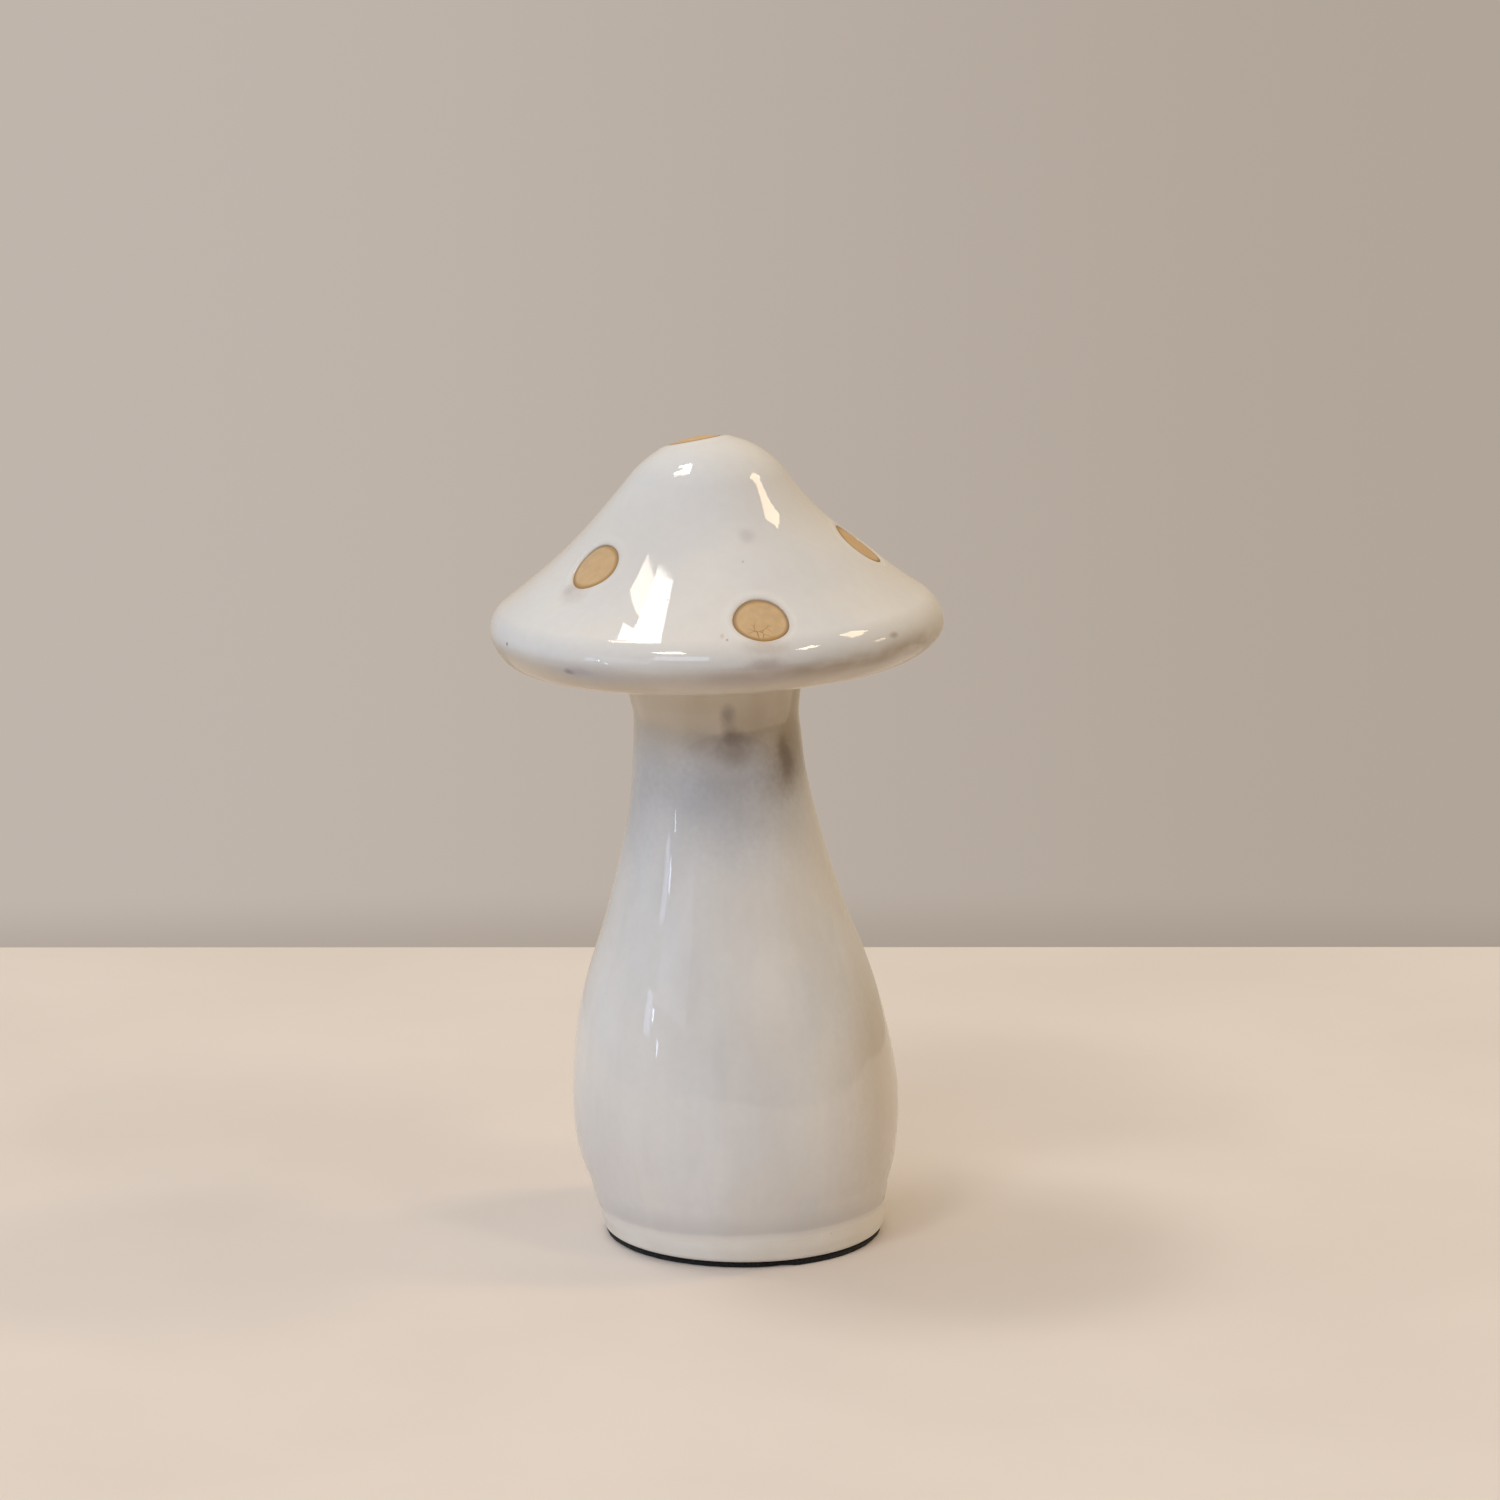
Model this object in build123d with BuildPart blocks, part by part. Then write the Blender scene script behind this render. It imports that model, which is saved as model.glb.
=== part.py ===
from build123d import *
from math import atan, cos, radians, sin, sqrt
import os

os.makedirs("parts", exist_ok=True)

# Ceramic mushroom ornament: a hollow cap and a hollow stem of slip-cast clay, joined with liquid clay at the
# neck, glazed white except for painted spots and a bare foot band, and standing on a glued felt disc.
# Millimetres and degrees. +Z is up, and the origin is the middle of the foot on the surface that it stands on.
# The front is towards -Y. Radii and heights of cap and stem are those of the glazed surface.

# Coats and walls
glaze = 0.4
wall = 4.0
spot_paint = 0.2
paint_clearance = 0.04

# Stem, measured along its own leaning axis
stem_lean = 2.7
belly_radius = 40.4
belly_height = 33.5
foot_inset = 7.1
neck_radius = 20.6
neck_height = 136.0
belly_arc_share = 0.41

# Foot, felt and glue
felt_thickness = 1.3
felt_inset = 0.5
felt_edge = 0.25
glue_thickness = 0.15
glue_inset = 1.0
foot_ring_width = 7.0
foot_recess = 1.2
floor_thickness = 5.0
floor_fillet = 3.0
drain_radius = 9.0
bare_band = 7.2

# Seam and collar under the cap, measured from the seam along the cap's axis
cap_tilt = 1.4
seam_thickness = 1.2
collar_height = 2.5
collar_fillet = 8.0

# Cap
cap_radius = 55.3
rim_radius = 7.8
flank_radius = 142.5
crown_radius = 24.3
crown_rise = 46.0

# Spots: the angle round the cap from the front, positive to the right, and the distance from the cap's axis as
# a share of the cap's radius
spot_radius = 6.9
spot_reach = 3.0
spot_place_shares = {
    "top": (-146, 0.10),
    "front": (14, 0.86),
    "left": (-51, 0.645),
    "right": (87, 0.65),
    "back_right": (138, 0.85),
    "back": (188, 0.61),
    "back_left": (238, 0.80),
}

# One overrun for everything that is cut off later
overrun = 5.0

foot_radius = belly_radius - foot_inset
foot_height = felt_thickness + glue_thickness
floor_top = foot_height + foot_recess + floor_thickness
recess_radius = foot_radius - foot_ring_width
felt_radius = foot_radius - felt_inset
glaze_line = foot_height + bare_band
underside = collar_height + collar_fillet
rim_height = underside + rim_radius
crown_height = rim_height + crown_rise

# The stem's section plane has the leaning axis as its Y, and the cap's stands on the seam with its own tilt.
stem_side = Vector(cos(radians(stem_lean)), 0, sin(radians(stem_lean)))
stem_up = Vector(-sin(radians(stem_lean)), 0, cos(radians(stem_lean)))
cap_side = Vector(cos(radians(cap_tilt)), 0, sin(radians(cap_tilt)))
cap_up = Vector(-sin(radians(cap_tilt)), 0, cos(radians(cap_tilt)))
seam = stem_up * neck_height
front = Vector(0, -1, 0)
stem_section = Plane(origin=(0, 0, 0), x_dir=stem_side, z_dir=front)
cap_section = Plane(origin=seam, x_dir=cap_side, z_dir=front)
stem_axis = Axis((0, 0, 0), stem_up)
cap_axis = Axis(seam, cap_up)
seam_plane = Plane(origin=seam, x_dir=cap_side, z_dir=cap_up)
foot_plane = Plane.XY.offset(foot_height)

# Centres of the cap's three arcs, in its section. The flank's arc is hollow and touches the other two, so its
# centre is where two circles round theirs cross.
crown_centre = Vector(0, crown_height - crown_radius)
rim_centre = Vector(cap_radius - rim_radius, rim_height)
span = rim_centre - crown_centre
crown_reach = crown_radius + flank_radius
rim_reach = rim_radius + flank_radius
along = (crown_reach**2 - rim_reach**2 + span.length**2) / (2 * span.length)
across = sqrt(crown_reach**2 - along**2)
flank_centre = crown_centre + span.normalized() * along + Vector(-span.Y, span.X).normalized() * across
to_crown = (crown_centre - flank_centre).normalized()
to_rim = (rim_centre - flank_centre).normalized()

# Arcs of the stem. The lowest passes through the foot and is upright at the belly, and the other two form an S
# that is upright at both ends.
base_arc = (belly_height**2 + foot_inset**2) / (2 * foot_inset)
s_rise = neck_height - belly_height
s_turn = 2 * atan((belly_radius - neck_radius) / s_rise)
s_radii = s_rise / sin(s_turn)
belly_arc = s_radii * belly_arc_share
neck_arc = s_radii - belly_arc
belly_centre = Vector(belly_radius - belly_arc, belly_height)
base_centre = Vector(belly_radius - base_arc, belly_height)
s_middle = Vector(cos(s_turn), sin(s_turn))


def stem_outline(inset, bottom):
    """Draws the stem's outline, inset from the glazed surface, from the height bottom to above the seam."""
    start_drop = belly_height - bottom
    start = Vector(base_centre.X + sqrt((base_arc - inset) ** 2 - start_drop**2), bottom)
    belly = Vector(belly_radius - inset, belly_height)
    middle = belly_centre + s_middle * (belly_arc - inset)
    neck = Vector(neck_radius - inset, neck_height)
    end = neck + Vector(0, overrun)
    RadiusArc(start, belly, -(base_arc - inset))
    RadiusArc(belly, middle, -(belly_arc - inset))
    RadiusArc(middle, neck, neck_arc + inset)
    Line(neck, end)
    return start, end


def cap_outline(inset, bottom):
    """Draws the cap's outline, inset from the glazed surface, from its top down to the height bottom."""
    top = Vector(0, crown_height - inset)
    crown_end = flank_centre + to_crown * (flank_radius + inset)
    flank_end = flank_centre + to_rim * (flank_radius + inset)
    rim_end = rim_centre - Vector(0, rim_radius - inset)
    fillet_end = Vector(neck_radius + collar_fillet, underside + inset)
    collar = Vector(neck_radius - inset, collar_height)
    end = Vector(neck_radius - inset, bottom)
    RadiusArc(top, crown_end, crown_radius - inset)
    RadiusArc(crown_end, flank_end, -(flank_radius + inset))
    RadiusArc(flank_end, rim_end, rim_radius - inset)
    Line(rim_end, fillet_end)
    RadiusArc(fillet_end, collar, -(collar_fillet + inset))
    Line(collar, end)
    return top, end


def stem_layer(outer_inset, inner_inset, bottom):
    """Draws a closed loop between two of the stem's outlines."""
    outer_start, outer_end = stem_outline(outer_inset, bottom)
    inner_start, inner_end = stem_outline(inner_inset, bottom)
    Line(outer_start, inner_start)
    Line(outer_end, inner_end)


def cap_layer(outer_inset, inner_inset, bottom):
    """Draws a closed loop between two of the cap's outlines."""
    outer_top, outer_end = cap_outline(outer_inset, bottom)
    inner_top, inner_end = cap_outline(inner_inset, bottom)
    Line(outer_top, inner_top)
    Line(outer_end, inner_end)


def spot_plane(angle, share):
    """The plane that touches the glazed cap at a spot, facing outwards."""
    radius = cap_radius * share
    crown_end = flank_centre + to_crown * flank_radius
    if radius < crown_end.X:
        normal = Vector(radius, sqrt(crown_radius**2 - radius**2)).normalized()
        height = crown_centre.Y + normal.Y * crown_radius
    else:
        drop = sqrt(flank_radius**2 - (flank_centre.X - radius) ** 2)
        normal = Vector(flank_centre.X - radius, drop).normalized()
        height = flank_centre.Y - drop
    outwards = cap_side * sin(radians(angle)) + front * cos(radians(angle))
    place = seam + outwards * radius + cap_up * height
    return Plane(origin=place, z_dir=outwards * normal.X + cap_up * normal.Y)


spot_planes = {name: spot_plane(angle, share) for name, (angle, share) in spot_place_shares.items()}

# Stem: the wall between two outlines and a floor, cut level at the foot and square to the cap at the seam
with BuildPart() as stem_shell:
    with BuildSketch(stem_section):
        with BuildLine():
            outer_start, outer_end = stem_outline(glaze, -overrun)
            inner_start, inner_end = stem_outline(glaze + wall, floor_top)
            Polyline(inner_start, (0, inner_start.Y), (0, outer_start.Y), outer_start)
            Line(outer_end, inner_end)
        make_face()
        fillet(vertices().sort_by_distance(inner_start)[0], radius=floor_fillet)
    revolve(axis=stem_axis)
    split(bisect_by=foot_plane, keep=Keep.TOP)
    split(bisect_by=seam_plane, keep=Keep.BOTTOM)
    with BuildSketch(foot_plane):
        Circle(recess_radius)
    extrude(amount=foot_recess, mode=Mode.SUBTRACT)
    with BuildSketch(foot_plane):
        Circle(drain_radius)
    extrude(amount=floor_top + overrun, mode=Mode.SUBTRACT)
stem_shell.part.label = "stem_shell"
export_step(stem_shell.part, "parts/stem_shell.step")

# Glaze of the stem: it stops at the bare band, square to the stem's axis
with BuildPart() as stem_glaze:
    with BuildSketch(stem_section):
        with BuildLine():
            stem_layer(0, glaze, glaze_line)
        make_face()
    revolve(axis=stem_axis)
    split(bisect_by=seam_plane, keep=Keep.BOTTOM)
stem_glaze.part.label = "stem_glaze"
export_step(stem_glaze.part, "parts/stem_glaze.step")

# Slip in the seam: as thick as the walls that it joins, with a bead squeezed out inside
with BuildPart() as neck_slip:
    with BuildSketch(cap_section):
        with BuildLine():
            outside = neck_radius - glaze
            inside = outside - wall
            Polyline((inside, 0), (outside, 0), (outside, seam_thickness), (inside, seam_thickness))
            RadiusArc((inside, 0), (inside, seam_thickness), seam_thickness / 2)
        make_face()
    revolve(axis=cap_axis)
neck_slip.part.label = "neck_slip"
export_step(neck_slip.part, "parts/neck_slip.step")

# Cap: one even wall from the collar round the rim to the crown, hollow and open towards the stem
with BuildPart() as cap_shell:
    with BuildSketch(cap_section):
        with BuildLine():
            cap_layer(glaze, glaze + wall, seam_thickness)
        make_face()
    revolve(axis=cap_axis)
cap_shell.part.label = "cap_shell"
export_step(cap_shell.part, "parts/cap_shell.step")

# Glaze of the cap: it also covers the seam, and leaves a round window at each spot
with BuildPart() as cap_glaze:
    with BuildSketch(cap_section):
        with BuildLine():
            cap_layer(0, glaze, 0)
        make_face()
    revolve(axis=cap_axis)
    for plane in spot_planes.values():
        with BuildSketch(plane):
            Circle(spot_radius)
        extrude(amount=spot_reach, both=True, mode=Mode.SUBTRACT)
cap_glaze.part.label = "cap_glaze"
export_step(cap_glaze.part, "parts/cap_glaze.step")

# Spots: each is a round cut out of one thin coat of paint over the whole cap, so it fits its window. The coat
# stays a hair clear of the clay, so that the two hollow curves never cut into each other.
with BuildPart() as paint_coat:
    with BuildSketch(cap_section):
        with BuildLine():
            cap_layer(glaze - spot_paint, glaze - paint_clearance, seam_thickness)
        make_face()
    revolve(axis=cap_axis)
for name, plane in spot_planes.items():
    with BuildPart() as spot:
        with BuildSketch(plane):
            Circle(spot_radius)
        extrude(amount=spot_reach, both=True)
        add(paint_coat.part, mode=Mode.INTERSECT)
    spot.part.label = f"spot_{name}"
    export_step(spot.part, f"parts/spot_{name}.step")

# Felt disc with softened edges
with BuildPart() as felt_pad:
    with BuildSketch():
        Circle(felt_radius)
    extrude(amount=felt_thickness)
    fillet(felt_pad.edges().filter_by(GeomType.CIRCLE), radius=felt_edge)
felt_pad.part.label = "felt_pad"
export_step(felt_pad.part, "parts/felt_pad.step")

# Ring of glue between the felt and the foot ring
with BuildPart() as pad_adhesive:
    with BuildSketch(Plane.XY.offset(felt_thickness)):
        Circle(felt_radius - glue_inset)
        Circle(recess_radius + glue_inset, mode=Mode.SUBTRACT)
    extrude(amount=glue_thickness)
pad_adhesive.part.label = "pad_adhesive"
export_step(pad_adhesive.part, "parts/pad_adhesive.step")
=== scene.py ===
# %% [markdown]
# # A glazed ceramic mushroom
#
# The ornament is a hollow mushroom of white clay, about 20 cm tall: a pointed cap on a bellied stem, both covered
# with a thick, milky, glossy glaze. Round spots on the cap and a band at the foot stay bare, and a black felt disc
# is glued underneath. The construction model, loaded as a fixed frame, already holds each piece at its real size
# and place, so every mesh made here only has to follow it more finely.

import math

import bmesh
import bpy
import numpy as np
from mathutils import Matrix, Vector


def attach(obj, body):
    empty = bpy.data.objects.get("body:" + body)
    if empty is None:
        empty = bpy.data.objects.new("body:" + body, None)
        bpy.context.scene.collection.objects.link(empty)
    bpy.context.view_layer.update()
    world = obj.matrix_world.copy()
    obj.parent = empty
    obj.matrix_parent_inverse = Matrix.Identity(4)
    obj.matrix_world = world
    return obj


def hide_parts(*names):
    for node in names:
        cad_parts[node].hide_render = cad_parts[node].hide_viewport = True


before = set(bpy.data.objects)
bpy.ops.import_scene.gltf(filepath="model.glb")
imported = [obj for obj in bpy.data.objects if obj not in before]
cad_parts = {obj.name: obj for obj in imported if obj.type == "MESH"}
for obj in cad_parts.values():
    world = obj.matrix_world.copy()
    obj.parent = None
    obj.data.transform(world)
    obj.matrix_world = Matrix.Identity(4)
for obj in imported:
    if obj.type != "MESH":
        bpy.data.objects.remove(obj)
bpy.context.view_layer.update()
MM = 0.001

# %% [markdown]
# ## The sizes of the form
#
# The shape is an outline that goes once round an axis, and the outline is a chain of arcs that touch each other.
# It could be drawn as a curve by hand, but arcs keep the few sizes of the construction model, and a surface that
# lies a little deeper follows the same centres with other radii. So clay, glaze and paint lie on each other without
# gaps. The numbers are millimetres, and become metres only when a mesh is made.

# %% Sizes of clay, glaze, stem and cap
glaze = 0.4
wall = 4.0
spot_paint = 0.2
stem_lean = math.radians(2.7)
belly_radius = 40.4
belly_height = 33.5
foot_inset = 7.1
neck_radius = 20.6
neck_height = 136.0
belly_arc_share = 0.41
cap_tilt = math.radians(1.4)
seam_thickness = 1.2
collar_height = 2.5
collar_fillet = 8.0
cap_radius = 55.3
rim_radius = 7.8
flank_radius = 142.5
crown_radius = 24.3
crown_rise = 46.0
underside = collar_height + collar_fillet
rim_height = underside + rim_radius
crown_height = rim_height + crown_rise
print("cap height over the seam:", round(crown_height, 1), "mm")

# %% [markdown]
# ## Rows of an outline
#
# Each row of an outline holds four numbers: the distance from the axis, the height, and the two parts of the
# direction that points out of the clay. An arc that bulges points away from its centre, and a hollow one points
# towards it. Closer rows are used where the shape turns quickly, because a glossy surface shows every flat.

# %% Arcs and straight runs as rows
quarter = math.pi / 2


def arc(centre, radius, start, end, step, hollow=False):
    """Rows along an arc round a centre, from one angle to another."""
    turn = np.linspace(start, end, max(2, round(abs(end - start) * radius / step) + 1))
    spoke = np.column_stack([np.cos(turn), np.sin(turn)])
    return np.hstack([np.array(centre) + radius * spoke, -spoke if hollow else spoke])


def straight(start, end, step):
    """Rows along a straight run. Seen along the run, the clay lies to the right."""
    run = np.array(end, float) - np.array(start, float)
    length = np.linalg.norm(run)
    points = np.linspace(start, end, max(2, round(length / step) + 1))
    return np.hstack([points, np.tile([-run[1] / length, run[0] / length], (len(points), 1))])


def chain(*runs):
    """One outline from runs that touch, without the doubled rows."""
    return np.vstack([runs[0]] + [run[1:] for run in runs[1:]])


# %% The cap's outline, from the top down to the seam
crown_centre = np.array([0, crown_height - crown_radius])
rim_centre = np.array([cap_radius - rim_radius, rim_height])
span = rim_centre - crown_centre
span_length = np.linalg.norm(span)
crown_reach, rim_reach = crown_radius + flank_radius, rim_radius + flank_radius
along = (crown_reach**2 - rim_reach**2 + span_length**2) / (2 * span_length)
across = math.sqrt(crown_reach**2 - along**2)
flank_centre = crown_centre + (span * along + np.array([-span[1], span[0]]) * across) / span_length
crown_end, rim_start = (
    math.atan2(flank_centre[1] - centre[1], flank_centre[0] - centre[0]) for centre in (crown_centre, rim_centre))
cap_outline = chain(
    arc(crown_centre, crown_radius, quarter, crown_end, 0.8),
    arc(flank_centre, flank_radius, crown_end - math.pi, rim_start - math.pi, 0.9, hollow=True),
    arc(rim_centre, rim_radius, rim_start, -quarter, 0.45),
    straight((rim_centre[0], underside), (neck_radius + collar_fillet, underside), 1.6),
    arc((neck_radius + collar_fillet, collar_height), collar_fillet, quarter, math.pi, 0.9, hollow=True),
    straight((neck_radius, collar_height), (neck_radius, 0), 0.9),
)
print("rows in the cap's outline:", len(cap_outline))

# %% The stem's outline, from the seam down to the foot
base_arc = (belly_height**2 + foot_inset**2) / (2 * foot_inset)
stem_rise = neck_height - belly_height
stem_turn = 2 * math.atan((belly_radius - neck_radius) / stem_rise)
belly_arc = stem_rise / math.sin(stem_turn) * belly_arc_share
neck_arc = stem_rise / math.sin(stem_turn) - belly_arc


def stem_outline(bottom, step):
    """Rows of the stem's glazed surface from the seam down to a height."""
    base_turn = math.asin((belly_height - bottom) / base_arc)
    return chain(
        arc((neck_radius + neck_arc, neck_height), neck_arc, math.pi, math.pi + stem_turn, step, hollow=True),
        arc((belly_radius - belly_arc, belly_height), belly_arc, stem_turn, 0, step),
        arc((belly_radius - base_arc, belly_height), base_arc, 0, -base_turn, step),
    )


print("arcs of the stem:", round(neck_arc), round(belly_arc), round(base_arc), "mm")

# %% [markdown]
# ## From an outline to a place in the room
#
# A row turns round its axis into a ring of points. The stem's axis leans a little to the left, and the cap's half
# as much. In the last stretch below the seam, where the two meet, the stem's rings turn gently into the cap's own
# tilt, so the glaze runs through without a kink.

# %% Rings, and the tilted places of stem and cap
SIDES = 256
level_below, lean_above = 14.0, 50.0
turn_below_seam = 25
seam_place = neck_height * np.array([-math.sin(stem_lean), 0, math.cos(stem_lean)])


def turns(sides):
    """Angles once round, evenly spaced."""
    return np.linspace(0, 2 * math.pi, sides, endpoint=False)


def rings(outline, inset=0.0, sides=SIDES):
    """Points on a turned surface, one ring for each row, at a depth under the outline: rows x sides x 3."""
    radius, height = (outline[:, k, None] - outline[:, k + 2, None] * inset for k in (0, 1))
    turn = turns(sides)
    return np.stack([radius * np.sin(turn), -radius * np.cos(turn), height * np.ones(sides)], axis=-1)


def smooth(low, high, value):
    """0 below low, 1 above high, and a soft S between them."""
    share = np.clip((value - low) / (high - low), 0, 1)
    return share * share * (3 - 2 * share)


def tilted(points, tilt, origin):
    """Points of a piece's own upright frame, leant to the left and moved to its origin."""
    across, up = math.cos(tilt), math.sin(tilt)
    return origin + points @ np.array([[across, 0, up], [0, 1, 0], [-up, 0, across]])


def on_cap(points):
    """From the cap's own frame, whose origin is the middle of the seam, into the room."""
    return tilted(points, cap_tilt, seam_place)


def on_stem(points):
    """From the stem's own frame into the room: level rings near the foot, then square to the leaning axis, then
    tilted with the cap at the seam."""
    height = points[..., 2:]
    leaning = tilted(points, stem_lean, np.zeros(3))
    capwards = on_cap(points - np.array([0, 0, neck_height]))
    level = points - height * np.array([math.tan(stem_lean), 0, 0])
    placed = leaning + (capwards - leaning) * smooth(neck_height - turn_below_seam, neck_height - 1, height)
    return placed + (level - placed) * (1 - smooth(level_below, lean_above, height))


# %% [markdown]
# ## What the potter's hands and the kiln did to it
#
# The real piece isn't perfectly round: its neck flares into the cap, and the top has sunk to the left. One soft
# bend of the whole space does this to every piece alike, so clay, glaze and spots still lie on each other. Its
# table says how far a level slid to the right, how much wider it grew and how far it rose. The rim is warped too,
# higher on the right, and a faint long wave makes the reflections wander as they do on cast ceramics.

# %% The soft bend of the space
foot_top = 1.45
bend = np.array([
    # height, slide to the right in mm, growth in percent, rise in mm
    (0, 0.3, 2.8, 0.0),
    (4, 0.5, 2.6, 0.0),
    (8, 0.2, -0.5, 0.0),
    (12, 0.0, -1.9, 0.0),
    (20, -0.1, -0.2, 0.0),
    (35, -0.05, 0.45, 0.0),
    (52, -0.3, -0.45, 0.0),
    (72, -0.45, -0.95, 0.0),
    (95, -0.2, 0.6, 0.0),
    (118, -0.1, -1.0, 0.0),
    (127, 0.1, -0.95, 0.0),
    (132, -0.05, -1.4, 0.0),
    (137, -0.4, 2.4, 0.0),
    (141, -0.5, 5.0, 0.0),
    (146, 0.3, 0.1, 0.1),
    (154, 0.7, 0.6, -0.35),
    (162, -0.1, 0.3, -0.15),
    (172, -0.1, 0.3, 0.25),
    (183, -0.85, 0.1, 0.05),
    (192, -0.45, 0.35, 0.35),
    (201, 0.25, 0.1, 0.6),
])
warp_front, warp_right, warp_saddle = 0.2, 0.5, -0.2
still_inside, warped_outside = 20, 55
still_below, warped_above = 138, 150
wave_height, wave_length, wave_from = 0.07, 34.0, 12


def soft_curve(places, values, at):
    """A smooth curve through a few values, with the slope between neighbours at each of them."""
    slopes = np.gradient(values, places)
    at = np.clip(at, places[0], places[-1])
    i = np.clip(np.searchsorted(places, at) - 1, 0, len(places) - 2)
    width = places[i + 1] - places[i]
    t = (at - places[i]) / width
    rise = values[i + 1] - values[i]
    start, end = slopes[i] * width, slopes[i + 1] * width
    return values[i] + t * (start + t * (3 * rise - 2 * start - end + t * (start + end - 2 * rise)))


def fired(points):
    """Where points of the perfect form end up on the fired piece."""
    x, y, z = (points[..., k] for k in range(3))
    in_cap = np.maximum(z - seam_place[2], 0)
    out = x + np.minimum(z, seam_place[2]) * math.tan(stem_lean) + in_cap * math.tan(cap_tilt)
    slide, growth, rise = (soft_curve(bend[:, 0], bend[:, k], z) for k in (1, 2, 3))
    angle = np.arctan2(out, -y)
    warp = warp_front * np.cos(angle) + warp_right * np.sin(angle) + warp_saddle * np.cos(2 * angle)
    warp = warp * smooth(still_inside, warped_outside, np.hypot(out, y)) * smooth(still_below, warped_above, z)
    moved = np.stack([x + slide + growth * out / 100, y + growth * y / 100, z + rise + warp], axis=-1)
    k = 2 * math.pi / wave_length
    wave = np.stack([
        np.sin(k * z + 1.3 * np.sin(k * y + 0.5)) * np.cos(0.7 * k * y),
        np.sin(0.8 * k * x + 2.0) * np.cos(0.9 * k * z + 0.4),
        0.6 * np.sin(0.9 * k * x + 1.1 * k * y + 1.0),
    ], axis=-1)
    return moved + wave_height * wave * smooth(foot_top, wave_from, z)[..., None]


# %% [markdown]
# ## Skins: closed solids between two sheets
#
# Glaze, clay walls and paint are thin layers, all made the same way: one sheet of faces outside, the same sheet
# turned over inside, and a strip of faces along every open edge. That is a closed solid with real thickness and no
# stray faces. A Solidify modifier could do nearly the same, but here the two sheets follow different arcs, and the
# glaze thins out. Each piece rides on the one rigid body and stands for its node of the construction model.

# %% Helpers that make closed meshes


def in_scene(name, data):
    """A new object in the scene."""
    made = bpy.data.objects.new(name, data)
    bpy.context.scene.collection.objects.link(made)
    return made


def aim(made, place, target):
    """Puts a lamp or a camera at a place and points it at a target."""
    made.location = place
    made.rotation_mode = "QUATERNION"
    made.rotation_quaternion = (Vector(target) - Vector(place)).to_track_quat("-Z", "Y")


def ring_faces(rows, sides=SIDES):
    """Quads between neighbouring rings of points."""
    here = np.arange(rows - 1)[:, None] * sides + np.arange(sides)
    after = np.arange(rows - 1)[:, None] * sides + (np.arange(sides) + 1) % sides
    return np.stack([here, here + sides, after + sides, after], axis=-1).reshape(-1, 4).tolist()


def open_edges(faces):
    """Edges that only one face uses, in that face's direction."""
    used = {(a, b) for face in faces for a, b in zip(face, face[1:] + face[:1])}
    return [(a, b) for a, b in used if (b, a) not in used]


def solid(name, node, points, faces, values=None, normals=None):
    """A smooth-shaded object from points in millimetres, in place of a node of the construction model. Doubled
    points are merged, and every face looks outwards. Exact normals are kept where they aren't zeros."""
    mesh = bpy.data.meshes.new(name)
    mesh.from_pydata((np.asarray(points) * MM).tolist(), [], faces)
    if normals is not None:
        layer = mesh.attributes.new("exact_normal", "FLOAT_VECTOR", "POINT")
        layer.data.foreach_set("vector", np.asarray(normals, np.float32).ravel())
    for title, numbers in (values or {}).items():
        layer = mesh.attributes.new(title, "FLOAT", "POINT")
        layer.data.foreach_set("value", np.asarray(numbers, np.float32).ravel())
    work = bmesh.new()
    work.from_mesh(mesh)
    bmesh.ops.remove_doubles(work, verts=work.verts, dist=0.001 * MM)
    bmesh.ops.delete(work, geom=[edge for edge in work.edges if edge.is_wire], context="EDGES")
    bmesh.ops.recalc_face_normals(work, faces=work.faces)
    left_open = sum(1 for edge in work.edges if not edge.is_manifold)
    work.to_mesh(mesh)
    work.free()
    mesh.shade_smooth()
    mesh.set_sharp_from_angle(angle=math.radians(55))
    piece = in_scene(name, mesh)
    if normals is None:
        piece.modifiers.new("even_shading", "WEIGHTED_NORMAL").keep_sharp = True
    else:
        exact = np.zeros(len(mesh.vertices) * 3, np.float32)
        mesh.attributes["exact_normal"].data.foreach_get("vector", exact)
        mesh.normals_split_custom_set_from_vertices(exact.reshape(-1, 3).tolist())
        mesh.attributes.remove(mesh.attributes["exact_normal"])
    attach(piece, "root")
    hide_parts(node)
    print(f"{name}: {len(mesh.polygons)} faces, {left_open} open edges")
    return piece


def skin(name, node, faces, outer, inner, values=None, normals=None):
    """A closed solid between an outer and an inner sheet that share their faces."""
    outer, inner = fired(outer).reshape(-1, 3), fired(inner).reshape(-1, 3)
    count = len(outer)
    strip = [[b, a, a + count, b + count] for a, b in open_edges(faces)]
    under = [[i + count for i in reversed(face)] for face in faces]
    doubled = {title: np.tile(np.ravel(numbers), 2) for title, numbers in (values or {}).items()}
    if normals is not None:
        normals = np.vstack([normals, np.zeros((count, 3))])
    return solid(name, node, np.vstack([outer, inner]), faces + under + strip, doubled, normals)


# %% [markdown]
# ## The spots' places
#
# Each spot is a round patch of paint that was covered with wax before glazing, so the glaze drew back from it. A
# spot's plane touches the glazed surface, and the window is what a round cutter leaves when it comes down square
# to that plane. Each rim wanders a little, as if drawn by hand, and paint and window share that same rim.

# %% Planes of the spots, in the cap's own frame
spot_radius = 6.9
patch_sides = 112
spot_rows = {
    # angle from the front to the right in degrees, share of the cap's radius, how far the glaze crept in
    "top": (-134, 0.095, 0.2),
    "front": (14.4, 0.857, 0.35),
    "left": (-51, 0.645, 0.2),
    "right": (87, 0.65, 0.2),
    "back_right": (138, 0.85, 0.2),
    "back": (188, 0.61, 0.2),
    "back_left": (238, 0.8, 0.2),
}


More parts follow.
